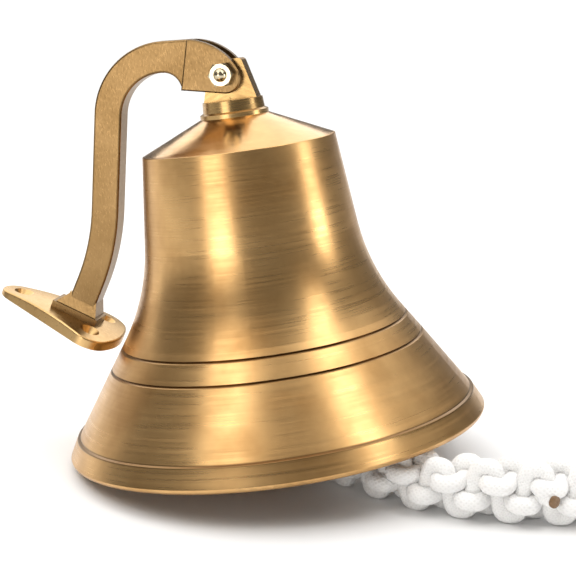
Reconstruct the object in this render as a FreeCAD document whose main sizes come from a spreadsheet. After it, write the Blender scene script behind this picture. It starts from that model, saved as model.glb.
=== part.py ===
import FreeCAD, Part
import math
import os

import Sketcher
from FreeCAD import Placement, Rotation, Vector

# Ship's bell with a folding swan-neck bracket and a braided lanyard.
# Millimetres, +Z up, the floor at z = 0. The bell leans on its own lanyard.
# Three local frames are used, and each one is placed as a whole:
#   bell frame     axis of the bell along Z, mouth plane at z = 0, bracket in the XZ plane
#   clapper frame  origin on the clapper pin, the clapper hanging along -Z, the pin along Y
#   plate frame    back of the mounting plate at z = 0, its hub on the Z axis

os.makedirs("parts", exist_ok=True)
doc = FreeCAD.newDocument("ship_bell")
sheet = doc.addObject("Spreadsheet::Sheet", "Dims")

DIMENSIONS = [
    # where the bell stands
    ("lean_angle", 8.2),
    ("lean_azimuth", -11.0),
    ("origin_east", 25.5),
    ("origin_north", -0.1),
    # outside of the bell
    ("rim_radius", 127.0),
    ("lip_radius", 3.3),
    ("band_height", 14.0),
    ("band_radius", 121.4),
    ("band_step", 1.0),
    ("flare_radius", 84.0),
    ("flare_height", 68.5),
    ("flare_slope", 0.6735),
    ("waist_curve", 124.5),
    ("waist_radius", 64.6),
    ("waist_height", 121.0),
    ("shoulder_radius", 57.9),
    ("shoulder_height", 176.2),
    ("crown_radius", 20.5),
    ("crown_height", 193.3),
    ("groove_low", 52.0),
    ("groove_high", 64.0),
    ("groove_half", 0.8),
    ("groove_depth", 1.0),
    # inside of the bell
    ("crown_inside", 187.0),
    ("land_radius", 18.0),
    ("shoulder_inside", 52.6),
    ("shoulder_inside_height", 171.5),
    ("waist_inside", 60.0),
    ("flare_inside", 78.8),
    ("bow_inside", 111.0),
    ("bow_height", 16.0),
    ("lip_inside", 117.6),
    ("lip_inside_height", 3.0),
    ("stud_hole", 6.3),
    # crown lug
    ("collar_radius", 18.0),
    ("collar_top", 203.0),
    ("bead_height", 2.4),
    ("lug_foot_half", 16.4),
    ("lug_top_half", 10.2),
    ("lug_top", 226.8),
    ("lug_thickness", 12.0),
    ("lug_bore", 6.0),
    # crown eye and its fasteners
    ("stud_radius", 6.0),
    ("stud_top", 204.0),
    ("eye_height", 163.0),
    ("eye_radius", 11.0),
    ("eye_thickness", 9.0),
    ("eye_neck", 5.5),
    ("washer_radius", 14.0),
    ("washer_thickness", 2.0),
    ("crown_nut_flats", 19.0),
    ("crown_nut_height", 8.0),
    # pivot of the bracket
    ("pivot_across", -1.0),
    ("pivot_height", 218.5),
    ("bolt_radius", 4.0),
    ("bolt_clearance", 0.05),
    ("nut_flats", 13.0),
    ("nut_height", 6.5),
    ("bolt_dome", 3.6),
    ("bolt_head_height", 5.3),
    ("pivot_washer_radius", 8.0),
    ("pivot_washer_thickness", 1.2),
    # bracket arm
    ("arm_thickness", 15.0),
    ("arm_rounding", 1.4),
    ("clevis_width", 24.0),
    ("slot_width", 12.6),
    ("nose_radius", 9.0),
    ("nose_across", 0.1),
    ("nose_height", 216.2),
    ("arch_radius", 36.6),
    ("slot_depth", 16.0),
    # mounting plate
    ("plate_slope", 31.0),
    ("hub_across", -121.1),
    ("hub_height", 77.2),
    ("plate_hub_thickness", 7.6),
    ("plate_edge_thickness", 2.6),
    ("plate_dome", 200.0),
    ("plate_flat", 18.2),
    ("plate_reach", 52.0),
    ("screw_tail", 37.5),
    ("screw_ahead", 15.0),
    ("screw_side", 17.0),
    ("tail_corner", 12.0),
    ("side_corner", 13.4),
    ("front_edge_curve", 60.0),
    ("screw_hole", 2.75),
    ("screw_sink", 6.0),
    ("foot_length", 30.2),
    ("foot_width", 20.0),
    ("foot_top", 12.1),
    ("flare_top", 21.0),
    ("foot_screw_spread", 7.0),
    ("foot_screw_radius", 2.5),
    ("foot_screw_head", 4.6),
    ("foot_screw_length", 20.0),
    # clapper
    ("clapper_azimuth", -36.0),
    ("clapper_hang", 4.0),
    ("pin_radius", 4.0),
    ("pin_clearance", 0.05),
    ("fork_gap", 9.8),
    ("fork_width", 18.0),
    ("fork_cheek", 4.0),
    ("fork_bridge", 14.0),
    ("fork_end", 26.0),
    ("rod_radius", 4.0),
    ("ball_radius", 18.0),
    ("ball_drop", 134.0),
    ("tail_drop", 162.6),
    ("tail_radius", 8.5),
    ("tail_hole", 4.6),
    ("tail_thickness", 8.0),
    # lanyard
    ("cord_diameter", 6.0),
    ("loop_half_width", 7.6),
    ("loop_length", 24.0),
    ("whipping_radius", 13.0),
    ("whipping_length", 9.0),
    ("braid_diameter", 36.0),
    ("braid_squashed", 32.2),
    ("squash_start", 20.0),
    ("squash_end", 148.0),
    ("knot_radius", 19.5),
    ("knot_length", 30.0),
]

# Centre line of the braid on the floor, from the whipping to the end knot.
BRAID_ROUTE = [
    (35.8, -7.7),
    (63.0, -28.5),
    (93.5, -54.5),
    (125.5, -71.5),
    (158.5, -80.0),
    (192.5, -79.6),
    (224.5, -71.5),
    (247.0, -60.5),
]

for row, (alias, number) in enumerate(DIMENSIONS, start=1):
    sheet.set(f"A{row}", alias)
    sheet.set(f"B{row}", str(number))
    sheet.setAlias(f"B{row}", alias)
working = doc.addObject("Spreadsheet::Sheet", "Working")
doc.recompute()

ALIASES = {alias for alias, number in DIMENSIONS}
VALUES = {}
PARTS = []


def size(expression):
    """The value of a sheet alias, or of an expression in the sheet's aliases."""
    if expression not in VALUES:
        working.set("A1", "=" + bound(expression))
        working.recompute()
        VALUES[expression] = float(working.get("A1"))
    return VALUES[expression]


def bound(expression):
    """The same expression as another object has to write it."""
    words = []
    word = ""
    for letter in expression + " ":
        if letter.isalnum() or letter in "_.":
            word += letter
            continue
        if word:
            words.append("Dims." + word if word in ALIASES else word)
        words.append(letter)
        word = ""
    return "".join(words).strip()


def keep(item, placement):
    """Names a finished sub-part after its node and puts it in its frame."""
    item.Placement = placement
    PARTS.append(item)
    return item


def new_body(node):
    body = doc.addObject("PartDesign::Body", node)
    body.Label = node
    return body


def plane(body, role):
    return next(f for f in body.Origin.OriginFeatures if f.Role == role)


def new_sketch(body, name, role):
    sketch = body.newObject("Sketcher::SketchObject", name)
    sketch.AttachmentSupport = [(plane(body, role), "")]
    sketch.MapMode = "FlatFace"
    return sketch


def lock(sketch, kind, geometry, point, expression):
    index = sketch.addConstraint(Sketcher.Constraint(kind, -1, 1, geometry, point, size(expression)))
    sketch.setExpression(f"Constraints[{index}]", bound(expression))


def arc_between(start, end, radius, turn):
    """An arc from start to end. turn is +1 where it runs counterclockwise and -1 where it doesn't."""
    chord = end - start
    half = chord.Length / 2
    rise = math.sqrt(max(radius ** 2 - half ** 2, 0))
    side = Vector(-chord.y, chord.x, 0).normalize() * turn
    centre = (start + end) / 2 + side * rise
    first, last = (start, end) if turn > 0 else (end, start)
    angles = [math.atan2(p.y - centre.y, p.x - centre.x) for p in (first, last)]
    return circle_part(centre, radius, angles[0], angles[1])


def outline(body, name, role, corners, arcs=None):
    """A closed sketch. corners are pairs of expressions. arcs gives, for the side that
    leaves a corner, its radius as an expression and its turn."""
    arcs = arcs or {}
    sketch = new_sketch(body, name, role)
    places = [Vector(size(x), size(y), 0) for x, y in corners]
    count = len(corners)
    starts = []
    for index, start in enumerate(places):
        end = places[(index + 1) % count]
        if index in arcs:
            radius, turn = arcs[index]
            sketch.addGeometry(arc_between(start, end, size(radius), turn), False)
            starts.append(1 if turn > 0 else 2)
        else:
            sketch.addGeometry(Part.LineSegment(start, end), False)
            starts.append(1)
    for index in range(count):
        after = (index + 1) % count
        sketch.addConstraint(
            Sketcher.Constraint("Coincident", index, 3 - starts[index], after, starts[after]))
    for index, (x, y) in enumerate(corners):
        lock(sketch, "DistanceX", index, starts[index], x)
        lock(sketch, "DistanceY", index, starts[index], y)
    for index, (radius, turn) in arcs.items():
        number = sketch.addConstraint(Sketcher.Constraint("Radius", index, size(radius)))
        sketch.setExpression(f"Constraints[{number}]", bound(radius))
    doc.recompute()
    return sketch


def flowing_outline(body, name, role, pieces, tangent, meeting, radii, places):
    """A closed sketch whose arcs run smoothly into their neighbours. tangent and meeting list
    the joints as (piece, end, piece, end), radii the arcs, and places the points that are fixed."""
    sketch = new_sketch(body, name, role)
    for piece in pieces:
        sketch.addGeometry(piece, False)
    for kind, joints in (("Tangent", tangent), ("Coincident", meeting)):
        for joint in joints:
            sketch.addConstraint(Sketcher.Constraint(kind, *joint))
    for index, radius in radii:
        number = sketch.addConstraint(Sketcher.Constraint("Radius", index, size(radius)))
        sketch.setExpression(f"Constraints[{number}]", bound(radius))
    for index, point, x, y in places:
        lock(sketch, "DistanceX", index, point, x)
        lock(sketch, "DistanceY", index, point, y)
    doc.recompute()
    return sketch


def circle_part(centre, radius, first, last):
    """An arc from one angle to another, in radians, counterclockwise."""
    return Part.ArcOfCircle(Part.Circle(centre, Vector(0, 0, 1), radius), first, last)


def revolve(body, sketch, kind="PartDesign::Revolution"):
    feature = body.newObject(kind, sketch.Name + "_turned")
    feature.Profile = sketch
    feature.ReferenceAxis = (sketch, ["V_Axis"])
    feature.Angle = 360
    doc.recompute()
    return feature


def pad(body, sketch, length, kind="PartDesign::Pad", middle=True):
    feature = body.newObject(kind, sketch.Name + "_solid")
    feature.Profile = sketch
    feature.SideType = "Symmetric" if middle else "One side"
    feature.setExpression("Length", bound(length))
    doc.recompute()
    return feature


def primitive(body, kind, name, sizes, placement):
    feature = body.newObject("PartDesign::" + kind, name)
    for key, expression in sizes.items():
        feature.setExpression(key, bound(expression))
    feature.Placement = placement
    before = body.Shape.Volume
    doc.recompute()
    assert abs(body.Shape.Volume - before) > 0.01, name + " changes nothing"
    return feature


def ease_edges(body, feature, wanted, amount, kind="Fillet"):
    """Fillets or chamfers the edges of a feature for which wanted(edge) is true."""
    names = [f"Edge{i}" for i, edge in enumerate(feature.Shape.Edges, start=1) if wanted(edge)]
    eased = body.newObject("PartDesign::" + kind, feature.Name + "_eased")
    eased.Base = (feature, names)
    eased.setExpression("Radius" if kind == "Fillet" else "Size", bound(amount))
    doc.recompute()
    return eased


def turned_part(node, corners, placement, arcs=None):
    """A round piece, turned from one half outline about its own Z axis."""
    body = new_body(node)
    revolve(body, outline(body, node + "_profile", "XZ_Plane", corners, arcs))
    return keep(body, placement)


def ring(node, inner, outer, low, high, placement):
    corners = [(inner, low), (outer, low), (outer, high), (inner, high)]
    return turned_part(node, corners, placement)


def hex_nut(node, flats, height, bore, placement):
    """A hexagon nut that stands on z = 0, with both faces chamfered at the corners."""
    body = new_body(node)
    sketch = new_sketch(body, node + "_hexagon", "XY_Plane")
    radius = size(flats) / math.sqrt(3)
    corners = [Vector(radius * math.cos(math.radians(60 * k)), radius * math.sin(math.radians(60 * k)), 0)
               for k in range(6)]
    for k in range(6):
        sketch.addGeometry(Part.LineSegment(corners[k], corners[(k + 1) % 6]), False)
    for k in range(6):
        sketch.addConstraint(Sketcher.Constraint("Coincident", k, 2, (k + 1) % 6, 1))
    for k, turn in enumerate((1.0, 0.5, -0.5, -1.0, -0.5, 0.5)):
        lift = (0, 1, 1, 0, -1, -1)[k]
        lock(sketch, "DistanceX", k, 1, f"{flats} / sqrt(3) * {turn}")
        lock(sketch, "DistanceY", k, 1, f"{flats} / 2 * {lift}")
    pad(body, sketch, height, middle=False)
    edge = f"{flats} / sqrt(3) + 0.5"
    flat = f"{flats} / 2 - 0.2"
    for name, face, inward in (("low", "0", "+"), ("high", height, "-")):
        corners = [(flat, face), (edge, face), (edge, f"{face} {inward} ({edge} - ({flat})) * 0.5")]
        revolve(body, outline(body, f"{node}_{name}", "XZ_Plane", corners), "PartDesign::Groove")
    primitive(body, "SubtractiveCylinder", node + "_bore", {"Radius": bore, "Height": f"{height} + 2"},
              Placement(Vector(0, 0, -1), Rotation()))
    return keep(body, placement)


def along_y(x, y, z, turn=-90):
    """A placement that lays a piece's own Z axis along Y. With turn -90 it points to +Y."""
    return Placement(Vector(x, y, z), Rotation(Vector(1, 0, 0), turn))


# ---------------------------------------------------------------- frames

lean = math.radians(size("lean_angle"))
heading = math.radians(size("lean_azimuth"))
ring_radius = size("rim_radius - lip_radius")
lift = ring_radius * math.sin(lean) + size("lip_radius") * (1 - math.cos(lean))
BELL = Placement(
    Vector(size("origin_east"), size("origin_north"), lift),
    Rotation(Vector(math.sin(heading), -math.cos(heading), 0), math.degrees(lean)))

pin_turn = Rotation(Vector(0, 0, 1), size("clapper_azimuth"))
EYE = BELL.multiply(Placement(Vector(0, 0, size("eye_height")), pin_turn))
pin_axis = EYE.Rotation.multVec(Vector(0, 1, 0))
level = pin_axis.cross(Vector(0, 0, 1)).normalize()
CLAPPER = Placement(EYE.Base, Rotation(level, pin_axis, level.cross(pin_axis), "ZXY"))

PLATE = BELL.multiply(Placement(
    Vector(size("hub_across"), 0, size("hub_height")),
    Rotation(Vector(0, 1, 0), size("plate_slope"))))

PIVOT = BELL.multiply(Placement(Vector(size("pivot_across"), 0, size("pivot_height")), Rotation()))


# ---------------------------------------------------------------- bell

def flare_at(height):
    return f"flare_radius + (flare_height - ({height})) * flare_slope"


def groove_corners(height):
    """A V groove in the conical flare: lower lip, bottom, upper lip."""
    low = f"{height} - groove_half"
    high = f"{height} + groove_half"
    return [(flare_at(low), low), (f"{flare_at(height)} - groove_depth", height), (flare_at(high), high)]


def make_bell():
    body = new_body("bell_shell")
    outside = [
        ("rim_radius - lip_radius", "0"),
        ("rim_radius", "lip_radius"),
        ("band_radius", "band_height"),
        (flare_at("band_height + band_step / 2") + " - band_step * 0.6", "band_height + band_step / 2"),
    ]
    outside += groove_corners("groove_low") + groove_corners("groove_high")
    outside += [
        ("flare_radius", "flare_height"),
        ("waist_radius", "waist_height"),
        ("shoulder_radius", "shoulder_height"),
        ("crown_radius", "crown_height"),
        ("stud_hole", "crown_height"),
    ]
    inside = [
        ("stud_hole", "crown_inside"),
        ("land_radius", "crown_inside"),
        ("shoulder_inside", "shoulder_inside_height"),
        ("waist_inside", "waist_height"),
        ("flare_inside", "flare_height"),
        ("bow_inside", "bow_height"),
        ("lip_inside", "lip_inside_height"),
        ("lip_inside + 3", "0"),
    ]
    waist = outside.index(("flare_radius", "flare_height"))
    waist_within = len(outside) + inside.index(("waist_inside", "waist_height"))
    arcs = {
        0: ("lip_radius", 1),
        waist: ("waist_curve", -1),
        waist_within: ("waist_curve + 4.5", 1),
    }
    solid = revolve(body, outline(body, "bell_profile", "XZ_Plane", outside + inside, arcs))
    shoulder = size("shoulder_height")
    step = size("band_height")

    def is_shoulder(edge):
        box = edge.BoundBox
        return box.ZLength < 0.01 and abs(box.ZMin - shoulder) < 0.05

    def is_band(edge):
        box = edge.BoundBox
        return box.ZLength < 0.01 and abs(box.ZMin - step) < 0.05

    assert step > 0
    ease_edges(body, solid, lambda edge: is_shoulder(edge) or is_band(edge), "band_step * 0.5")
    return keep(body, BELL)


def make_lug():
    body = new_body("crown_lug")
    collar = [
        ("0", "crown_height"),
        ("crown_radius", "crown_height"),
        ("crown_radius", "crown_height + bead_height"),
        ("collar_radius + 0.6", "crown_height + bead_height + 1"),
        ("collar_radius", "collar_top"),
        ("0", "collar_top"),
    ]
    revolve(body, outline(body, "collar_profile", "XZ_Plane", collar))
    tongue = [
        ("-lug_foot_half", "collar_top - 1"),
        ("lug_foot_half", "collar_top - 1"),
        ("lug_top_half", "lug_top - 2"),
        ("lug_top_half - 2.5", "lug_top"),
        ("-lug_top_half + 2.5", "lug_top"),
        ("-lug_top_half", "lug_top - 2"),
    ]
    arcs = {2: ("2.6", 1), 4: ("2.6", 1)}
    pad(body, outline(body, "tongue_profile", "XZ_Plane", tongue, arcs), "lug_thickness")
    primitive(body, "SubtractiveCylinder", "lug_cross_bore",
              {"Radius": "lug_bore", "Height": "lug_thickness + 2"},
              along_y(size("pivot_across"), -size("lug_thickness") / 2 - 1, size("pivot_height")))
    primitive(body, "SubtractiveCylinder", "stud_socket",
              {"Radius": "stud_radius + 0.02", "Height": "stud_top - crown_height + 1.5"},
              Placement(Vector(0, 0, size("crown_height") - 1), Rotation()))
    return keep(body, BELL)


def eye_on_stud(node, centre, radius, hole, thickness, stem, stem_radius, placement):
    """A flat ring across Y with a round stem up from it. All but the centre are expressions."""
    body = new_body(node)
    middle = -size(thickness) / 2
    primitive_first = body.newObject("PartDesign::AdditiveCylinder", node + "_ring")
    primitive_first.setExpression("Radius", bound(radius))
    primitive_first.setExpression("Height", bound(thickness))
    primitive_first.Placement = along_y(0, middle, centre)
    doc.recompute()
    for number, (low, high) in enumerate(stem):
        primitive(body, "AdditiveCylinder", f"{node}_stem{number}",
                  {"Radius": stem_radius[number], "Height": f"{high} - ({low})"},
                  Placement(Vector(0, 0, size(low)), Rotation()))
    primitive(body, "SubtractiveCylinder", node + "_hole",
              {"Radius": hole, "Height": f"{thickness} + 2"}, along_y(0, middle - 1, centre))
    return keep(body, placement)


def make_crown_fasteners():
    eye_on_stud(
        "crown_eye_bolt", 0, "eye_radius", "pin_radius + pin_clearance", "eye_thickness",
        [("eye_radius * 0.8", "crown_inside - eye_height - 6"),
         ("crown_inside - eye_height - 7", "stud_top - eye_height")],
        ["eye_neck", "stud_radius"], EYE)
    ring("crown_washer", "stud_radius + 0.1", "washer_radius", "crown_inside - washer_thickness",
         "crown_inside", BELL)
    seat = size("crown_inside - washer_thickness - crown_nut_height")
    hex_nut("crown_nut", "crown_nut_flats", "crown_nut_height", "stud_radius + 0.1",
            BELL.multiply(Placement(Vector(0, 0, seat), Rotation(Vector(0, 0, 1), 17))))


# ---------------------------------------------------------------- bracket

def cheek_outline(body):
    """The side of the clevis: a flat underside, a nose round the bolt and an arched top."""
    heel, crest = Vector(-27.4, 212.4, 0), Vector(-19.9, 241.2, 0)
    nose, arch = size("nose_radius"), size("arch_radius")
    middle = Vector(size("nose_across"), size("nose_height"), 0)
    reach = crest - middle
    spread = math.acos(((arch - nose) ** 2 + reach.Length ** 2 - arch ** 2)
                       / (2 * (arch - nose) * reach.Length))
    meet = math.atan2(reach.y, reach.x) + spread - math.pi
    hub = middle - Vector(math.cos(meet), math.sin(meet), 0) * (arch - nose)
    back_to_heel = heel - middle
    under = math.atan2(back_to_heel.y, back_to_heel.x) + math.acos(nose / back_to_heel.Length)
    touch = middle + Vector(math.cos(under), math.sin(under), 0) * nose
    pieces = [
        Part.LineSegment(heel, touch),
        circle_part(middle, nose, under, meet),
        circle_part(hub, arch, meet, math.atan2(crest.y - hub.y, crest.x - hub.x)),
        Part.LineSegment(crest, heel),
    ]
    return flowing_outline(
        body, "cheek_profile", "XZ_Plane", pieces,
        tangent=[(0, 2, 1, 1), (1, 2, 2, 1)],
        meeting=[(2, 2, 3, 1), (3, 2, 0, 1)],
        radii=[(1, "nose_radius"), (2, "arch_radius")],
        places=[(0, 1, "-27.4", "212.4"), (3, 1, "-19.9", "241.2"), (1, 3, "nose_across", "nose_height")])


def make_arm():
    body = new_body("bracket_arm")
    clevis = pad(body, cheek_outline(body), "clevis_width")
    side = size("clevis_width") / 2

    def on_a_cheek(edge):
        box = edge.BoundBox
        return box.YLength < 0.01 and abs(abs(box.YMin) - side) < 0.01

    ease_edges(body, clevis, on_a_cheek, "arm_rounding * 0.6", "Chamfer")
    neck = [
        ("-20.4", "241.3"),
        ("-39", "242.5"),
        ("-84.2", "205.3"),
        ("-95.3", "148.1"),
        ("-110.8", "107.6"),
        ("-120.8", "91"),
        ("-106.2", "82.2"),
        ("-96.3", "98.7"),
        ("-78.7", "144.6"),
        ("-67.5", "202.2"),
        ("-37.2", "223.7"),
        ("-28.4", "214.6"),
        ("-15", "214"),
    ]
    arcs = {1: ("46", 1), 3: ("125", -1), 7: ("142", 1), 9: ("27", -1), 10: ("11", -1)}
    blank = pad(body, outline(body, "neck_profile", "XZ_Plane", neck, arcs), "arm_thickness")
    half = size("arm_thickness") / 2

    def on_a_side(edge):
        box = edge.BoundBox
        flat = box.YLength < 0.01 and abs(abs(box.YMin) - half) < 0.01
        return flat and box.XMax < -20.3 and box.ZMin > 83 and box.DiagonalLength > 3

    ease_edges(body, blank, on_a_side, "arm_rounding")
    slot = [
        ("pivot_across - slot_depth", "200"),
        ("20", "200"),
        ("20", "250"),
        ("pivot_across - slot_depth", "250"),
    ]
    pad(body, outline(body, "slot_profile", "XZ_Plane", slot), "slot_width", "PartDesign::Pocket")
    primitive(body, "SubtractiveCylinder", "clevis_bore",
              {"Radius": "bolt_radius + 0.1", "Height": "clevis_width + 2"},
              along_y(size("pivot_across"), -side - 1, size("pivot_height")))
    seat = Placement(Vector(size("hub_across"), 0, size("hub_height")),
                     Rotation(Vector(0, 1, 0), size("plate_slope")))
    corner = Vector(-size("foot_length") / 2, -size("foot_width") / 2, size("plate_hub_thickness"))
    primitive(body, "AdditiveBox", "foot",
              {"Length": "foot_length", "Width": "foot_width", "Height": "foot_top - plate_hub_thickness"},
              seat.multiply(Placement(corner, Rotation())))
    flare = body.newObject("PartDesign::AdditiveWedge", "foot_flare")
    sizes = {
        "Xmin": "-foot_length / 2 + 1.6", "Xmax": "foot_length / 2 - 1.6",
        "Zmin": "-foot_width / 2 + 1.6", "Zmax": "foot_width / 2 - 1.6",
        "Ymin": "0", "Ymax": "flare_top - foot_top",
        "X2min": "-7", "X2max": "10.2",
        "Z2min": "-arm_thickness / 2 + 0.4", "Z2max": "arm_thickness / 2 - 0.4",
    }
    for key, expression in sizes.items():
        flare.setExpression(key, bound(expression))
    flare.Placement = seat.multiply(
        Placement(Vector(0, 0, size("foot_top")), Rotation(Vector(1, 0, 0), 90)))
    doc.recompute()
    for name, offset in (("front", -1), ("back", 1)):
        place = Vector(offset * size("foot_screw_spread"), 0, size("plate_hub_thickness") - 1)
        primitive(body, "SubtractiveCylinder", "foot_thread_" + name,
                  {"Radius": "foot_screw_radius + 0.02", "Height": "foot_screw_length - 5"},
                  seat.multiply(Placement(place, Rotation())))
    return keep(body, BELL)


def plate_outline(body):
    """Three rounded corners, two straight edges and one bulging edge, all tangent."""
    corners = [("-screw_tail", "0"), ("screw_ahead", "-screw_side"), ("screw_ahead", "screw_side")]
    tail, front, back = [Vector(size(x), size(y), 0) for x, y in corners]
    small, large, curve = size("tail_corner"), size("side_corner"), size("front_edge_curve")
    spread = math.atan2(size("screw_side"), size("screw_ahead + screw_tail"))
    steep = math.pi / 2 + spread + math.asin((large - small) / (front - tail).Length)
    bulge = math.asin(size("screw_side") / (curve - large))
    far = Vector(front.x - (curve - large) * math.cos(bulge), 0, 0)
    low = Vector(math.cos(steep), -math.sin(steep), 0)
    high = Vector(math.cos(steep), math.sin(steep), 0)
    pieces = [
        circle_part(tail, small, steep, 2 * math.pi - steep),
        circle_part(front, large, -steep, -bulge),
        circle_part(far, curve, -bulge, bulge),
        circle_part(back, large, bulge, steep),
        Part.LineSegment(tail + low * small, front + low * large),
        Part.LineSegment(back + high * large, tail + high * small),
    ]
    return flowing_outline(
        body, "plate_profile", "XY_Plane", pieces,
        tangent=[(0, 2, 4, 1), (4, 2, 1, 1), (1, 2, 2, 1), (2, 2, 3, 1), (3, 2, 5, 1), (5, 2, 0, 1)],
        meeting=[],
        radii=[(0, "tail_corner"), (1, "side_corner"), (2, "front_edge_curve"), (3, "side_corner")],
        places=[(index, 3, x, y) for index, (x, y) in zip((0, 1, 3), corners)])


def make_plate():
    body = new_body("mounting_plate")
    pad(body, plate_outline(body), "plate_hub_thickness", middle=False)
    crown = [
        ("plate_flat", "plate_hub_thickness"),
        ("plate_reach", "plate_edge_thickness"),
        ("plate_reach + 10", "plate_edge_thickness"),
        ("plate_reach + 10", "plate_hub_thickness + 2"),
        ("plate_flat", "plate_hub_thickness + 2"),
    ]
    revolve(body, outline(body, "plate_crown", "XZ_Plane", crown, {0: ("plate_dome", -1)}),
            "PartDesign::Groove")
    top = body.Tip

    def is_top_rim(edge):
        box = edge.BoundBox
        return box.ZMin > 0.5 and box.ZMax < size("plate_hub_thickness") - 0.2 and box.DiagonalLength > 4

    ease_edges(body, top, is_top_rim, "plate_edge_thickness * 0.5")
    screws = [("tail", "-screw_tail", "0"), ("front", "screw_ahead", "-screw_side"),
              ("back", "screw_ahead", "screw_side")]
    for name, x, y in screws:
        out = math.hypot(size(x), size(y))
        surface = size("plate_hub_thickness") - max(out - size("plate_flat"), 0) * 0.115
        primitive(body, "SubtractiveCylinder", f"screw_hole_{name}",
                  {"Radius": "screw_hole", "Height": "plate_hub_thickness + 2"},
                  Placement(Vector(size(x), size(y), -1), Rotation()))
        depth = size("screw_sink - screw_hole")
        primitive(body, "SubtractiveCone", f"screw_sink_{name}",
                  {"Radius1": "screw_hole", "Radius2": "screw_sink + 1",
                   "Height": "screw_sink - screw_hole + 1"},
                  Placement(Vector(size(x), size(y), surface - depth), Rotation()))
    for name, offset in (("front", -1), ("back", 1)):
        place = Vector(offset * size("foot_screw_spread"), 0, -1)
        primitive(body, "SubtractiveCylinder", "foot_hole_" + name,
                  {"Radius": "foot_screw_radius + 0.3", "Height": "plate_hub_thickness + 2"},
                  Placement(place, Rotation()))
        primitive(body, "SubtractiveCone", "foot_sink_" + name,
                  {"Radius1": "foot_screw_head + 0.3", "Radius2": "foot_screw_radius + 0.3",
                   "Height": "foot_screw_head - foot_screw_radius"},
                  Placement(Vector(place.x, 0, 0), Rotation()))
    return keep(body, PLATE)


def make_foot_screws():
    """Two countersunk screws, from the back of the plate up into the foot, as one group."""
    screws = []
    for name, offset in (("front", -1), ("back", 1)):
        head = doc.addObject("Part::Cone", f"foot_screw_head_{name}")
        head.setExpression("Radius1", bound("foot_screw_head"))
        head.setExpression("Radius2", bound("foot_screw_radius"))
        head.setExpression("Height", bound("foot_screw_head - foot_screw_radius"))
        shank = doc.addObject("Part::Cylinder", f"foot_screw_shank_{name}")
        shank.setExpression("Radius", bound("foot_screw_radius"))
        shank.setExpression("Height", bound("foot_screw_length - 1"))
        place = Placement(Vector(offset * size("foot_screw_spread"), 0, 0.1), Rotation())
        head.Placement = place
        shank.Placement = place
        screw = doc.addObject("Part::Fuse", f"foot_screw_{name}")
        screw.Base = head
        screw.Tool = shank
        screws.append(screw)
    group = doc.addObject("Part::Compound", "foot_screws")
    group.Label = "foot_screws"
    group.Links = screws
    doc.recompute()
    return keep(group, PLATE)


def make_pivot():
    """The bracket's bolt lies along the bell frame's Y axis, its nut towards -Y."""
    face = size("clevis_width") / 2
    washer = size("pivot_washer_thickness")

    def across(y, turn=-90):
        return PIVOT.multiply(along_y(0, y, 0, turn))

    ring("pivot_bush", "bolt_radius + bolt_clearance", "lug_bore - 0.02", "0.1", "lug_thickness - 0.1",
         across(-size("lug_thickness") / 2))
    ring("pivot_washer", "bolt_radius + 0.1", "pivot_washer_radius", "0", "pivot_washer_thickness",
         across(face))
    hex_nut("pivot_nut", "nut_flats", "nut_height", "bolt_radius + 0.02", across(-face, 90))

    body = new_body("pivot_bolt")
    reach = "clevis_width + pivot_washer_thickness + nut_height + 1"
    shank = [
        ("0", "-1"),
        ("bolt_radius", "-1"),
        ("bolt_radius", f"{reach} - 1"),
        ("0", f"{reach} - 1 + bolt_dome"),
    ]
    arcs = {2: ("(bolt_radius ^ 2 + bolt_dome ^ 2) / (2 * bolt_dome)", 1)}
    revolve(body, outline(body, "bolt_profile", "XZ_Plane", shank, arcs))
    sketch = new_sketch(body, "head_hexagon", "XY_Plane")
    radius = size("nut_flats") / math.sqrt(3)
    for k in range(6):
        ends = [Vector(radius * math.cos(math.radians(60 * j)), radius * math.sin(math.radians(60 * j)), 0)
                for j in (k, k + 1)]
        sketch.addGeometry(Part.LineSegment(ends[0], ends[1]), False)
    for k in range(6):
        sketch.addConstraint(Sketcher.Constraint("Coincident", k, 2, (k + 1) % 6, 1))
    for k, turn in enumerate((1.0, 0.5, -0.5, -1.0, -0.5, 0.5)):
        lock(sketch, "DistanceX", k, 1, f"nut_flats / sqrt(3) * {turn}")
        lock(sketch, "DistanceY", k, 1, f"nut_flats / 2 * {(0, 1, 1, 0, -1, -1)[k]}")
    head = body.newObject("PartDesign::Pad", "bolt_head")
    head.Profile = sketch
    head.setExpression("Length", bound("bolt_head_height"))
    head.Reversed = True
    doc.recompute()
    keep(body, across(face + washer, 90))


# ---------------------------------------------------------------- clapper

def below(drop):
    return Placement(Vector(0, 0, -drop), Rotation())


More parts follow.
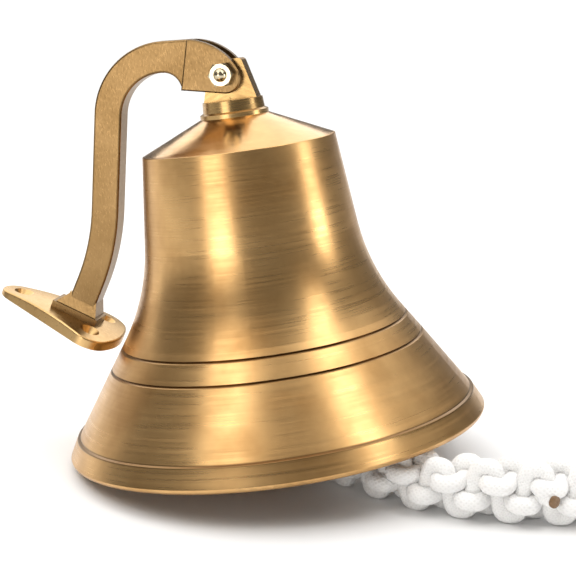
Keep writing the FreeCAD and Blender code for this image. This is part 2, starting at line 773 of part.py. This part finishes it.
def make_clapper():
    body = new_body("clapper_fork")
    fork = [
        ("-fork_width / 2", "0"),
        ("-fork_width / 2", "-fork_bridge - 4"),
        ("-rod_radius * 1.7", "-fork_end"),
        ("rod_radius * 1.7", "-fork_end"),
        ("fork_width / 2", "-fork_bridge - 4"),
        ("fork_width / 2", "0"),
    ]
    width = "fork_gap + 2 * fork_cheek"
    pad(body, outline(body, "fork_profile", "XZ_Plane", fork, {5: ("fork_width * 0.51", 1)}), width)
    gap = [
        ("-fork_width", "-fork_bridge"),
        ("fork_width", "-fork_bridge"),
        ("fork_width", "fork_width"),
        ("-fork_width", "fork_width"),
    ]
    pad(body, outline(body, "fork_gap_profile", "XZ_Plane", gap), "fork_gap", "PartDesign::Pocket")
    primitive(body, "SubtractiveCylinder", "fork_pin_hole",
              {"Radius": "pin_radius + 0.02", "Height": f"{width} + 2"},
              along_y(0, -size(width) / 2 - 1, 0))
    primitive(body, "SubtractiveCylinder", "fork_rod_hole",
              {"Radius": "rod_radius + 0.02", "Height": "fork_end - fork_bridge - 2"},
              Placement(Vector(0, 0, -size("fork_end") - 1), Rotation()))
    keep(body, CLAPPER)

    side = size(width) / 2
    head = "pin_radius + 2.2"
    pin = [("0", "-2.5"), (head, "-2.5"), (head, "0"), ("pin_radius", "0"),
           ("pin_radius", f"{width} + 3.5"), ("0", f"{width} + 3.5")]
    turned_part("clapper_pin", pin, CLAPPER.multiply(along_y(0, -side, 0)))
    ring("clapper_pin_clip", "pin_radius + 0.02", "pin_radius + 3", "0.3", "1.5",
         CLAPPER.multiply(along_y(0, side, 0)))

    rod_top = "-fork_end + 8"
    rod = [("0", "-ball_drop - ball_radius + 2"), ("rod_radius", "-ball_drop - ball_radius + 2"),
           ("rod_radius", rod_top), ("0", rod_top)]
    turned_part("clapper_rod", rod, CLAPPER)

    hole = size("rod_radius + 0.02")
    cap = math.sqrt(size("ball_radius") ** 2 - hole ** 2)
    ball = [("rod_radius + 0.02", f"{-cap}"), ("rod_radius + 0.02", f"{cap}")]
    turned_part("clapper_ball", ball, CLAPPER.multiply(below(size("ball_drop"))),
                {0: ("10000", 1), 1: ("ball_radius", -1)})
    hex_nut("clapper_lock_nut", "nut_flats", "nut_height * 0.75", "rod_radius + 0.02",
            CLAPPER.multiply(below(size("ball_drop - ball_radius + 0.3"))))
    eye_on_stud(
        "clapper_tail_eye", 0, "tail_radius", "tail_hole", "tail_thickness",
        [("tail_radius * 0.7", "tail_drop - ball_drop - ball_radius - 0.2")], ["rod_radius + 1.4"],
        CLAPPER.multiply(below(size("tail_drop"))))


# ---------------------------------------------------------------- lanyard

def tube(node, points, diameter, placement, radii=None):
    """A round cord through the points: straight runs joined by tangent arcs."""
    runs = [b - a for a, b in zip(points, points[1:])]
    edges = []
    last = points[0]
    length = 0
    for index in range(1, len(points) - 1):
        before, after = runs[index - 1], runs[index]
        turn = before.getAngle(after)
        reach = 0.45 * min(before.Length, after.Length)
        radius = reach / math.tan(turn / 2)
        if radii:
            radius = radii
            reach = radius * math.tan(turn / 2)
        start = points[index] - Vector(before).normalize() * reach
        end = points[index] + Vector(after).normalize() * reach
        inward = (Vector(after).normalize() - Vector(before).normalize()).normalize()
        centre = points[index] + inward * (radius / math.cos(turn / 2))
        middle = centre - inward * radius
        edges.append(Part.LineSegment(last, start).toShape())
        edges.append(Part.Arc(start, middle, end).toShape())
        length += (start - last).Length + radius * turn
        last = end
        print(f"{node}: bend {index} of {math.degrees(turn):.1f} degrees, radius {radius:.1f} mm")
    edges.append(Part.LineSegment(last, points[-1]).toShape())
    length += (points[-1] - last).Length
    path = Part.Wire(edges)
    circle = Part.Circle(points[0], runs[0], diameter / 2).toShape()
    solid = path.makePipeShell([Part.Wire([circle])], True, False)
    section = math.pi * diameter ** 2 / 4
    print(f"{node}: length {length:.1f} mm, volume {solid.Volume:.0f}, section x length {section * length:.0f}")
    feature = doc.addObject("Part::Feature", node)
    feature.Label = node
    feature.Shape = solid
    feature.Placement = placement
    return feature


def make_lanyard():
    tail = CLAPPER.multiply(below(size("tail_drop")))
    wide, far = size("loop_half_width"), size("loop_length")
    loop = [Vector(far, -wide, 0), Vector(0, -wide, 0), Vector(0, wide, 0), Vector(far, wide, 0)]
    PARTS.append(tube("lanyard_loop", loop, size("cord_diameter"), tail, radii=4.4))

    flat = tail.multiply(Placement(Vector(far, 0, 0), Rotation(Vector(0, 1, 0), 90)))
    whipping = [("0", "0"), ("whipping_radius - 1.5", "0"), ("whipping_radius", "1.5"),
                ("whipping_radius", "whipping_length - 1.5"), ("whipping_radius - 1.5", "whipping_length"),
                ("0", "whipping_length")]
    turned_part("lanyard_whipping", whipping, flat)

    middle = size("braid_diameter") / 2
    route = [Vector(x, y, middle) for x, y in BRAID_ROUTE]
    full = tube("braid_tube", route, size("braid_diameter"), Placement())
    full.Label = "braid_tube"
    squash = doc.addObject("Part::Box", "rim_squash")
    squash.setExpression("Length", bound("squash_end - squash_start"))
    squash.Width = 80
    squash.Height = 20
    centre = Vector(size("origin_east"), size("origin_north"), size("braid_squashed"))
    turn = Rotation(Vector(0, 0, 1), size("clapper_azimuth"))
    squash.Placement = Placement(centre + turn.multVec(Vector(size("squash_start"), -40, 0)), turn)
    braid = doc.addObject("Part::Cut", "lanyard_braid")
    braid.Label = "lanyard_braid"
    braid.Base = full
    braid.Tool = squash
    doc.recompute()
    PARTS.append(braid)

    heading_out = (route[-1] - route[-2]).normalize()
    end = Vector(route[-1].x, route[-1].y, size("knot_radius"))
    knot = [
        ("0", "0"),
        ("knot_radius * 0.72", "0"),
        ("knot_radius", "knot_length * 0.3"),
        ("knot_radius", "knot_length * 0.7"),
        ("knot_radius * 0.72", "knot_length"),
        ("0", "knot_length"),
    ]
    turned_part("lanyard_end_knot", knot, Placement(end, Rotation(Vector(0, 0, 1), heading_out)))


make_bell()
make_lug()
make_crown_fasteners()
make_arm()
make_plate()
make_foot_screws()
make_pivot()
make_clapper()
make_lanyard()
doc.recompute()

for item in doc.Objects:
    bad = [state for state in item.State if "Invalid" in state or "Error" in state]
    assert not bad, f"{item.Name}: {item.State}"
for item in PARTS:
    assert not item.Shape.isNull() and item.Shape.isValid(), item.Label + " has no valid shape"
    assert item.Shape.Volume > 0, item.Label + " has no volume"
for item in PARTS:
    item.Shape.exportStep(f"parts/{item.Label}.step")

hard = [item.Shape.BoundBox for item in PARTS if not item.Label.startswith("lanyard")]
whole = FreeCAD.BoundBox()
for box in hard:
    whole.add(box)
print(f"{len(PARTS)} parts, object without its lanyard: {whole}")
for name, frame in (("bell", BELL), ("clapper", CLAPPER), ("plate", PLATE), ("pivot", PIVOT),
                    ("tail", CLAPPER.multiply(below(size("tail_drop"))))):
    axes = [frame.Rotation.multVec(v) for v in (Vector(1, 0, 0), Vector(0, 1, 0), Vector(0, 0, 1))]
    print(name, tuple(round(c, 3) for c in frame.Base), [tuple(round(c, 5) for c in a) for a in axes])
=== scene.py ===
import math

import bpy
from mathutils import Matrix, Vector
from mathutils.noise import noise


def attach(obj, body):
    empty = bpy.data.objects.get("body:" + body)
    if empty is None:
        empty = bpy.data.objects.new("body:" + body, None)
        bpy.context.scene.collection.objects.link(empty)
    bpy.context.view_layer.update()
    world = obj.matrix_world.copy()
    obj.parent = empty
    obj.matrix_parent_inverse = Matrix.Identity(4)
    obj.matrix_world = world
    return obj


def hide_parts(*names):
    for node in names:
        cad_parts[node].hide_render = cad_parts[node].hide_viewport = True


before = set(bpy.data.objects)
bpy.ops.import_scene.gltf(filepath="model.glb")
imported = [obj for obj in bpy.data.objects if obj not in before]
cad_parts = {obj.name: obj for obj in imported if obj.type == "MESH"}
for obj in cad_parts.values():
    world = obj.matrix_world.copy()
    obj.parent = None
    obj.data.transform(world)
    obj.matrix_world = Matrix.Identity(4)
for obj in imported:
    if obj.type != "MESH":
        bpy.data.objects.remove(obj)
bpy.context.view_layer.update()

# Ship's bell with its bracket and its braided lanyard. Metres, +Z up, the floor at z = 0.

LEAN = math.radians(8.2)
LEAN_AZIMUTH = math.radians(-11)
BELL = Matrix.Translation((0.0255, -0.0001, 0.017677)) @ Matrix.Rotation(
    LEAN, 4, Vector((math.sin(LEAN_AZIMUTH), -math.cos(LEAN_AZIMUTH), 0)))

# ---------------------------------------------------------------- camera

camera_data = bpy.data.cameras.new("camera")
camera_data.lens = 94.25
camera_data.sensor_width = 36
camera = bpy.data.objects.new("camera", camera_data)
camera.location = (0.2005, -0.8687, 0.3083)
camera.rotation_euler = (math.radians(90 - 12.84), 0, math.radians(11))
bpy.context.scene.collection.objects.link(camera)
bpy.context.scene.camera = camera


# ---------------------------------------------------------------- node helpers

class Shader:
    """A material under construction. Its methods add nodes and return their output sockets."""

    def __init__(self, name, roughness, metallic=0.0):
        self.material = bpy.data.materials.new(name)
        self.material.use_nodes = True
        self.tree = self.material.node_tree
        self.surface = self.tree.nodes["Principled BSDF"]
        self.surface.inputs["Roughness"].default_value = roughness
        self.surface.inputs["Metallic"].default_value = metallic

    def add(self, kind, **settings):
        node = self.tree.nodes.new(kind)
        for key, value in settings.items():
            setattr(node, key, value)
        return node

    def link(self, source, target):
        self.tree.links.new(source, target)

    def fill(self, socket, value):
        if isinstance(value, bpy.types.NodeSocket):
            self.link(value, socket)
        else:
            socket.default_value = value

    def math(self, operation, first, second=0.0, third=0.0):
        node = self.add("ShaderNodeMath", operation=operation)
        for socket, value in zip(node.inputs, (first, second, third)):
            self.fill(socket, value)
        return node.outputs[0]

    def place(self, matrix=None):
        """Object coordinates, or those of the frame that matrix stands for."""
        source = self.add("ShaderNodeTexCoord").outputs["Object"]
        if matrix is None:
            return source
        mapping = self.add("ShaderNodeMapping", vector_type="TEXTURE")
        mapping.inputs["Location"].default_value = matrix.to_translation()
        mapping.inputs["Rotation"].default_value = matrix.to_euler()
        self.link(source, mapping.inputs["Vector"])
        return mapping.outputs[0]

    def parts(self, vector):
        node = self.add("ShaderNodeSeparateXYZ")
        self.link(vector, node.inputs[0])
        return node.outputs[0], node.outputs[1], node.outputs[2]

    def vector(self, x, y, z):
        node = self.add("ShaderNodeCombineXYZ")
        for socket, value in zip(node.inputs, (x, y, z)):
            self.fill(socket, value)
        return node.outputs[0]

    def noise(self, vector, scale, detail=3.0, roughness=0.5):
        node = self.add("ShaderNodeTexNoise")
        self.link(vector, node.inputs["Vector"])
        node.inputs["Scale"].default_value = scale
        node.inputs["Detail"].default_value = detail
        node.inputs["Roughness"].default_value = roughness
        return node.outputs["Fac"]

    def spread(self, value, low, high, to_low=0.0, to_high=1.0):
        node = self.add("ShaderNodeMapRange")
        for socket, number in zip(node.inputs, (value, low, high, to_low, to_high)):
            self.fill(socket, number)
        return node.outputs[0]

    def ramp(self, value, stops):
        node = self.add("ShaderNodeValToRGB")
        self.link(value, node.inputs[0])
        band = node.color_ramp
        while len(band.elements) < len(stops):
            band.elements.new(0.5)
        for element, (place, color) in zip(band.elements, stops):
            element.position = place
            element.color = (*color, 1)
        return node.outputs[0]

    def blend(self, factor, first, second, mode="MIX"):
        node = self.add("ShaderNodeMix", data_type="RGBA", blend_type=mode)
        self.fill(node.inputs["Factor"], factor)
        for socket, color in ((node.inputs[6], first), (node.inputs[7], second)):
            self.fill(socket, color if isinstance(color, bpy.types.NodeSocket) else (*color, 1))
        return node.outputs[2]

    def bump(self, height, strength, distance):
        node = self.add("ShaderNodeBump")
        node.inputs["Strength"].default_value = strength
        node.inputs["Distance"].default_value = distance
        self.link(height, node.inputs["Height"])
        self.link(node.outputs[0], self.surface.inputs["Normal"])

    def finish(self, color=None, roughness=None):
        if color is not None:
            self.fill(self.surface.inputs["Base Color"], color)
        if roughness is not None:
            self.fill(self.surface.inputs["Roughness"], roughness)
        return self.material


def turned_brass(name, matrix, light, dark, gloss, streak=1.0, lines=(), polished_above=1.0):
    """Brass brushed round the Z axis of matrix, with brown patina in blotches and painted shade in its
    grooves: a near-black band at each groove's height, inside surfaces too.
    lines are the grooves' heights. Above polished_above it is polished instead of brushed."""
    shader = Shader(name, gloss, metallic=1.0)
    place = shader.place(matrix)
    x, y, z = shader.parts(place)
    angle = shader.math("ARCTAN2", y, x)
    radius = shader.math("SQRT", shader.math("ADD", shader.math("MULTIPLY", x, x),
                                             shader.math("MULTIPLY", y, y)))
    profile = shader.math("ADD", z, shader.math("MULTIPLY", radius, 0.6))
    brushing = shader.noise(shader.vector(shader.math("MULTIPLY", angle, 0.9),
                                          shader.math("MULTIPLY", profile, 900.0), 0.0), 1.0, 4.0, 0.65)
    scratches = shader.noise(shader.vector(shader.math("MULTIPLY", angle, 3.0),
                                           shader.math("MULTIPLY", profile, 2600.0), 4.0), 1.0, 2.0)
    clouds = shader.noise(place, 21.0, 4.0, 0.55)
    patina = shader.spread(clouds, 0.38, 0.68)
    tone = shader.math("ADD", shader.math("MULTIPLY", patina, 0.88),
                       shader.math("MULTIPLY", shader.spread(brushing, 0.3, 0.7), 0.12))
    middle = tuple((a + b) / 2 for a, b in zip(light, dark))
    color = shader.ramp(tone, [(0.0, light), (0.5, middle), (1.0, dark)])
    # Painted shade: a narrow near-black band at each groove's height. It depends on height alone, so it
    # also darkens the inside at those heights.
    for line in lines:
        away = shader.math("ABSOLUTE", shader.math("SUBTRACT", z, line))
        color = shader.blend(shader.spread(away, 0.0004, 0.0011, 0.75, 0.0), color, (0.09, 0.048, 0.018))
    polish = shader.spread(z, polished_above, polished_above + 0.0008)
    roughness = shader.math("ADD", shader.spread(brushing, 0.3, 0.7, gloss - 0.05, gloss + 0.07),
                            shader.spread(patina, 0.0, 1.0, 0.0, 0.05))
    roughness = shader.math("SUBTRACT", roughness, shader.math("MULTIPLY", polish, gloss * 0.45))
    height = shader.math("ADD", shader.math("MULTIPLY", brushing, 0.7),
                         shader.math("MULTIPLY", scratches, 0.3))
    height = shader.math("MULTIPLY", height, shader.spread(polish, 0.0, 1.0, 1.0, 0.25))
    shader.bump(height, 0.09 * streak, 0.0004)
    return shader.finish(color, roughness)


def hand_brass(name, light, dark, gloss, grain=(220.0, 220.0, 60.0)):
    """Cast brass polished by hand: fine straight scratches and soft dents under a patina."""
    shader = Shader(name, gloss, metallic=1.0)
    place = shader.place(BELL)
    x, y, z = shader.parts(place)
    lines = shader.noise(shader.vector(shader.math("MULTIPLY", x, grain[0]),
                                       shader.math("MULTIPLY", y, grain[1]),
                                       shader.math("MULTIPLY", z, grain[2])), 6.0, 4.0, 0.6)
    clouds = shader.noise(place, 34.0, 4.0, 0.6)
    tone = shader.math("ADD", shader.math("MULTIPLY", shader.spread(clouds, 0.36, 0.68), 0.7),
                       shader.math("MULTIPLY", shader.spread(lines, 0.3, 0.7), 0.3))
    color = shader.ramp(tone, [(0.0, light), (1.0, dark)])
    roughness = shader.spread(lines, 0.3, 0.7, gloss - 0.05, gloss + 0.08)
    height = shader.math("ADD", shader.math("MULTIPLY", lines, 0.25), clouds)
    shader.bump(height, 0.10, 0.0006)
    return shader.finish(color, roughness)


def plated_steel(name):
    shader = Shader(name, 0.16, metallic=1.0)
    place = shader.place()
    grain = shader.noise(place, 900.0, 3.0)
    color = shader.ramp(grain, [(0.3, (0.62, 0.54, 0.38)), (0.7, (0.46, 0.38, 0.25))])
    shader.bump(grain, 0.05, 0.0002)
    return shader.finish(color, shader.spread(grain, 0.3, 0.7, 0.12, 0.24))


def cotton(name, white, shade, carriers=11.0, pitch=0.0019):
    """Braided cotton sheath. The UV map runs along the cord in metres and round it from 0 to 1."""
    shader = Shader(name, 0.88)
    uv = shader.add("ShaderNodeUVMap", uv_map="cord").outputs[0]
    along, around = shader.parts(uv)[:2]
    turns = shader.math("MULTIPLY", around, carriers)
    steps = shader.math("DIVIDE", along, pitch)
    waves = []
    for sense in ("ADD", "SUBTRACT"):
        phase = shader.math(sense, turns, steps)
        waves.append(shader.math("SINE", shader.math("MULTIPLY", phase, 2 * math.pi)))
    knit = shader.spread(shader.math("MAXIMUM", waves[0], waves[1]), -0.6, 1.0)
    fuzz = shader.noise(shader.place(), 1700.0, 4.0, 0.7)
    clouds = shader.noise(shader.place(), 55.0, 3.0)
    height = shader.math("ADD", knit, shader.math("MULTIPLY", fuzz, 0.55))
    # Painted shade: the colour goes to shade in the knit's low places between the carriers. The clouds
    # vary it at random.
    tone = shader.math("MULTIPLY", shader.spread(knit, 0.0, 0.55, 0.0, 1.0),
                       shader.spread(clouds, 0.3, 0.6, 0.82, 1.0))
    color = shader.ramp(tone, [(0.0, shade), (1.0, white)])
    shader.bump(height, 0.42, 0.0006)
    shader.surface.inputs["Sheen Weight"].default_value = 0.35
    shader.surface.inputs["Sheen Roughness"].default_value = 0.4
    shader.surface.inputs["Subsurface Weight"].default_value = 0.12
    shader.surface.inputs["Subsurface Radius"].default_value = (0.0015, 0.0014, 0.0013)
    return shader.finish(color)


def melted_tip(name):
    """Brown shiny end where the cord's fibres were melted together."""
    shader = Shader(name, 0.4)
    return shader.finish(shader.ramp(shader.noise(shader.place(), 600.0, 3.0),
                                     [(0.3, (0.26, 0.15, 0.07)), (0.7, (0.16, 0.085, 0.035))]))


GOLD = (0.70, 0.435, 0.185)
BROWN = (0.44, 0.245, 0.09)
# lines: the bell's groove heights, where painted shade darkens it
BELL_BRASS = turned_brass("bell_brass", BELL, GOLD, BROWN, 0.28, 0.35, lines=(0.0142, 0.0520, 0.0640),
                          polished_above=0.1762)
LUG_BRASS = turned_brass("lug_brass", BELL, (0.48, 0.31, 0.13), (0.32, 0.19, 0.07), 0.25, 0.4)
# The arm's brass is a darker copy of the same brass: its colours are painted shade, standing in for the
# dark surroundings that its flat side reflects. The clouds in it are patina.
SHADED_ARM_BRASS = hand_brass("arm_brass_painted_shade", (0.25, 0.155, 0.066), (0.17, 0.10, 0.038), 0.30)
PLATE_BRASS = hand_brass("plate_brass", (0.66, 0.44, 0.20), (0.50, 0.31, 0.125), 0.30, (60.0, 220.0, 60.0))
INSIDE_BRASS = hand_brass("inside_brass", (0.58, 0.40, 0.17), (0.38, 0.24, 0.09), 0.32)
BRIGHT_STEEL = plated_steel("bright_steel")
COTTON = cotton("white_cotton", (0.945, 0.94, 0.93), (0.87, 0.865, 0.85))
SEAL = melted_tip("melted_cord_tip")
# The thread's knit gaps get painted shade too, through cotton.
THREAD = cotton("whipping_thread", (0.90, 0.89, 0.86), (0.70, 0.68, 0.64), 4.0, 0.0012)

FINISHES = {
    "bell_shell": BELL_BRASS,
    "crown_lug": LUG_BRASS,
    "bracket_arm": SHADED_ARM_BRASS,
    "mounting_plate": PLATE_BRASS,
    "pivot_bolt": BRIGHT_STEEL,
    "pivot_nut": BRIGHT_STEEL,
    "pivot_washer": BRIGHT_STEEL,
    "clapper_pin_clip": BRIGHT_STEEL,
}
for name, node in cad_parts.items():
    node.data.materials.clear()
    node.data.materials.append(FINISHES.get(name, INSIDE_BRASS))

# ---------------------------------------------------------------- lanyard

STRAND = 0.0098
STRAND_STEP = 0.00085
LOOP_HALF_WIDTH = 0.0076
LOOP_DEPTH = 0.0044
WHIPPING_START = 0.0232
WHIPPING_LENGTH = 0.0098
WHIPPING_RADIUS = 0.0112
BRAID = 0.036
REACH = (BRAID - STRAND) / 2
ROUTE_HEIGHT = 0.018
RIM_CROSSING = Vector((0.1252, -0.0728, 0))
SQUASHED = 0.0322 / 0.036
BRAID_PERIOD = 0.0262
SEALED_END_AT = 0.70
ROUTE = [
    (0.0358, -0.0077),
    (0.0630, -0.0285),
    (0.0935, -0.0545),
    (0.1255, -0.0715),
    (0.1585, -0.0800),
    (0.1925, -0.0796),
    (0.2245, -0.0715),
    (0.2470, -0.0605),
]


def route_points():
    """The points of the lanyard's smooth centre line, read from its spline."""
    curve = bpy.data.curves.new("lanyard_route", "CURVE")
    curve.dimensions = "3D"
    spline = curve.splines.new("NURBS")
    spline.points.add(len(ROUTE) - 1)
    for point, (x, y) in zip(spline.points, ROUTE):
        point.co = (x, y, ROUTE_HEIGHT, 1)
    spline.order_u = 3
    spline.use_endpoint_u = True
    spline.resolution_u = 24
    holder = bpy.data.objects.new("lanyard_route", curve)
    mesh = bpy.data.meshes.new_from_object(holder)
    points = [vertex.co.copy() for vertex in mesh.vertices]
    bpy.data.objects.remove(holder)
    bpy.data.meshes.remove(mesh)
    return points


class Line:
    """A polyline that can be read at any distance from its start."""

    def __init__(self, points):
        self.points = points
        self.marks = [0.0]
        for before, after in zip(points, points[1:]):
            self.marks.append(self.marks[-1] + (after - before).length)
        self.length = self.marks[-1]

    def at(self, distance):
        """The place there, and the direction, which runs on straight past both ends."""
        index = 0
        while index < len(self.marks) - 2 and self.marks[index + 1] < distance:
            index += 1
        step = self.points[index + 1] - self.points[index]
        part = (distance - self.marks[index]) / step.length
        before = self.points[max(index - 1, 0)]
        after = self.points[min(index + 2, len(self.points) - 1)]
        return self.points[index] + step * part, (after - before).normalized()


def tube(name, points, radius, material, closed=False, sides=14, round_ends=True):
    """A round cord through many points, with a UV map that runs along and round it."""
    count = len(points)
    tangents = []
    for index in range(count):
        before = points[index - 1] if index > 0 or closed else points[0]
        after = points[(index + 1) % count] if index < count - 1 or closed else points[-1]
        tangents.append((after - before).normalized())
    normal = tangents[0].orthogonal().normalized()
    vertices, rows = [], []
    distance = 0.0
    for index, (point, tangent) in enumerate(zip(points, tangents)):
        if index:
            distance += (point - points[index - 1]).length
            normal = (normal - tangent * normal.dot(tangent)).normalized()
        binormal = tangent.cross(normal)
        ends_in = min(index, count - 1 - index)
        width = radius
        if round_ends and not closed and ends_in == 0:
            width = radius * 0.55
        rows.append(distance)
        for side in range(sides):
            angle = 2 * math.pi * side / sides
            vertices.append(point + (normal * math.cos(angle) + binormal * math.sin(angle)) * width)
    faces, coordinates = [], []
    for row in range(count if closed else count - 1):
        after = (row + 1) % count
        ahead = rows[after] if after else distance + (points[0] - points[-1]).length
        for side in range(sides):
            beside = (side + 1) % sides
            faces.append((row * sides + side, row * sides + beside,
                          after * sides + beside, after * sides + side))
            low, high = side / sides, (side + 1) / sides
            coordinates.append([(rows[row], low), (rows[row], high), (ahead, high), (ahead, low)])
    if not closed:
        for row, order in ((0, range(sides - 1, -1, -1)), (count - 1, range(sides))):
            faces.append(tuple(row * sides + side for side in order))
            coordinates.append([(rows[row], side / sides) for side in order])
    mesh = bpy.data.meshes.new(name)
    mesh.from_pydata(vertices, [], faces)
    layer = mesh.uv_layers.new(name="cord")
    flat = [corner for face in coordinates for corner in face]
    for loop, corner in zip(layer.data, flat):
        loop.uv = corner
    mesh.materials.append(material)
    mesh.shade_smooth()
    piece = bpy.data.objects.new(name, mesh)
    bpy.context.scene.collection.objects.link(piece)
    return piece


def joined(name, pieces):
    """One object out of several meshes that share a material."""
    bpy.ops.object.select_all(action="DESELECT")
    for piece in pieces:
        piece.select_set(True)
    bpy.context.view_layer.objects.active = pieces[0]
    bpy.ops.object.join()
    pieces[0].name = name
    return pieces[0]


def swing(turns):
    """The sideways swing of a strand, from -1 to 1: long bights and short crossings."""
    return math.tanh(2.3 * math.sin(2 * math.pi * turns)) / math.tanh(2.3)


def pressed(point):
    """Flattens what passes under the rim, so that the rim rests on it."""
    away = Vector((point.x, point.y, 0)) - RIM_CROSSING
    amount = max(0.0, 1 - (away.length / 0.040) ** 2) ** 2
    point.z *= 1 - (1 - SQUASHED) * min(1.0, amount * 1.25)
    return point


def braid_strand(line, plane, upright, half):
    """One of four cords. It swings across the braid in its own plane, half a cord off centre."""
    points = []
    steps = int(line.length / STRAND_STEP)
    sign = -1 if half else 1
    for step in range(steps + 1):
        distance = line.length * step / steps
        middle, along = line.at(distance)
        across = Vector((-along.y, along.x, 0)).normalized()
        turns = distance / BRAID_PERIOD + (0.25 if upright else 0.0)
        wander = 0.0006 * noise(Vector((distance * 90, plane * 900, 3 * upright)))
        reach = REACH * swing(turns) * sign
        gather = min(1.0, 0.55 + distance / 0.02)
        if upright:
            offset = across * (plane + wander) + Vector((0, 0, reach))
        else:
            offset = across * reach + Vector((0, 0, plane + wander))
        points.append(pressed(middle + offset * gather))
    return points


line = Line(route_points())
strands = []
for upright in (False, True):
    for half in (False, True):
        plane = STRAND / 2 * (-1 if half else 1)
        path = braid_strand(line, plane, upright, half)
        strands.append(tube("strand", path, STRAND / 2, COTTON))
braid = joined("braided_lanyard", strands)
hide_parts("lanyard_braid")
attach(braid, "lanyard")

# loop through the clapper's tail eye
pin = Vector((0.58354, 0.80984, 0.06028))
outward = pin.cross(Vector((0, 0, 1))).normalized()
upward = outward.cross(pin).normalized()
tail = Vector((0.008408, 0.012288, 0.016706))
loop_path = []
for step in range(25):
    turn = math.pi * step / 24
    bend = -math.sin(turn) ** 0.7
    loop_path.append(tail + pin * LOOP_HALF_WIDTH * math.cos(turn) + outward * LOOP_DEPTH * bend)
leg = [tail + outward * (0.030 - 0.003 * k) for k in range(10)]
first = [point + pin * LOOP_HALF_WIDTH for point in leg]
last = [point - pin * LOOP_HALF_WIDTH for point in reversed(leg)]
loop = tube("lanyard_loop_cord", first + loop_path + last, 0.003, COTTON)
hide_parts("lanyard_loop")
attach(loop, "lanyard")

# whipping: thin cord wound round the neck of the braid
winding = []
for step in range(301):
    turn = 2 * math.pi * 4.6 * step / 300
    advance = WHIPPING_START + WHIPPING_LENGTH * step / 300
    winding.append(tail + outward * advance + pin * WHIPPING_RADIUS * math.cos(turn)
                   + upward * WHIPPING_RADIUS * math.sin(turn))
whipping = tube("lanyard_whipping_cord", winding, 0.0013, THREAD, sides=10)
neck_path = [tail + outward * (0.023 + 0.001 * k) for k in range(13)]
neck = tube("lanyard_neck", neck_path, 0.0105, COTTON, sides=24)
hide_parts("lanyard_whipping")
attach(whipping, "lanyard")
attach(neck, "lanyard")

# end knot: one cord wrapped three times round the end of the braid
end, forward = line.at(line.length)
aside = Vector((-forward.y, forward.x, 0))
centre = end + forward * 0.013
centre.z = 0.0192
weave = []
for step in range(360):
    turn = 2 * math.pi * 3 * step / 360
    wave = 4 * turn / 3
    distance = 0.0118 + 0.0028 * math.cos(wave)
    weave.append(centre + forward * 0.0115 * math.sin(wave)
                 + aside * distance * math.cos(turn) + Vector((0, 0, distance * math.sin(turn))))
knot = tube("lanyard_knot_cord", weave, STRAND / 2, COTTON, closed=True)
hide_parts("lanyard_end_knot")
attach(knot, "lanyard")

# the cord's sealed end, which sticks out of the braid
tip_root, tip_heading = line.at(line.length * SEALED_END_AT)
tip_way = (Vector((tip_heading.y, -tip_heading.x, 0)) + tip_heading * 0.9).normalized()
tip_path = [tip_root + tip_way * (0.010 + 0.0012 * k) for k in range(11)]
tip = tube("lanyard_cord_end", tip_path, STRAND / 2 * 0.8, COTTON, sides=18)
seal_path = [tip_path[-1] + tip_way * (0.0004 * k - 0.0004) for k in range(6)]
seal = tube("lanyard_sealed_tip", seal_path, STRAND / 2 * 0.72, SEAL, sides=18)
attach(tip, "lanyard")
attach(seal, "lanyard")

# ---------------------------------------------------------------- floor and light

bpy.ops.mesh.primitive_plane_add(size=24, location=(0, 0, 0))
floor = bpy.context.active_object
floor.name = "floor"
paper = Shader("floor_paper", 0.7)
paper_grain = paper.noise(paper.place(), 3.0, 2.0)
floor.data.materials.append(paper.finish(
    paper.ramp(paper_grain, [(0.0, (0.89, 0.89, 0.89)), (1.0, (0.91, 0.91, 0.91))])))

world = bpy.data.worlds.new("studio")
world.use_nodes = True
world.node_tree.nodes["Background"].inputs["Color"].default_value = (1.0, 0.985, 0.96, 1)
world.node_tree.nodes["Background"].inputs["Strength"].default_value = 0.18
bpy.context.scene.world = world

MIDDLE = Vector((0.01, 0.0, 0.13))


def softbox(name, azimuth, elevation, distance, width, height, power, warm=1.0):
    """A soft light. The azimuth is seen from the bell: 0 is towards the camera, right is positive."""
    data = bpy.data.lights.new(name, "AREA")
    data.shape = "RECTANGLE"
    data.size = width
    data.size_y = height
    data.energy = power
    data.color = (1.0, 0.93 + 0.07 * (1 - warm), 0.84 + 0.16 * (1 - warm))
    light = bpy.data.objects.new(name, data)
    toward = math.radians(-78.6 + azimuth)
    lift = math.radians(elevation)
    away = Vector((math.cos(lift) * math.cos(toward), math.cos(lift) * math.sin(toward), math.sin(lift)))
    light.location = MIDDLE + away * distance
    light.rotation_euler = away.to_track_quat("Z", "Y").to_euler()
    bpy.context.scene.collection.objects.link(light)


softbox("left_low", -31, 6, 1.7, 0.75, 0.60, 5.6, 0.4)
softbox("left_high", -44, 50, 1.7, 0.70, 0.9, 6.5, 0.4)
softbox("right_low", 80, 6, 1.6, 0.42, 0.60, 5.2, 0.4)
softbox("right_high", 58, 48, 1.6, 0.45, 0.9, 5.0, 0.4)
softbox("left_behind", -132, 12, 1.9, 1.6, 1.5, 5.5, 0.6)

sun_data = bpy.data.lights.new("overhead", "SUN")
sun_data.energy = 3.3
sun_data.angle = math.radians(100)
sun = bpy.data.objects.new("overhead", sun_data)
sun.rotation_euler = (math.radians(-24), math.radians(-6), 0)
bpy.context.scene.collection.objects.link(sun)

view = bpy.context.scene.view_settings
view.view_transform = "Standard"
view.exposure = 0.0
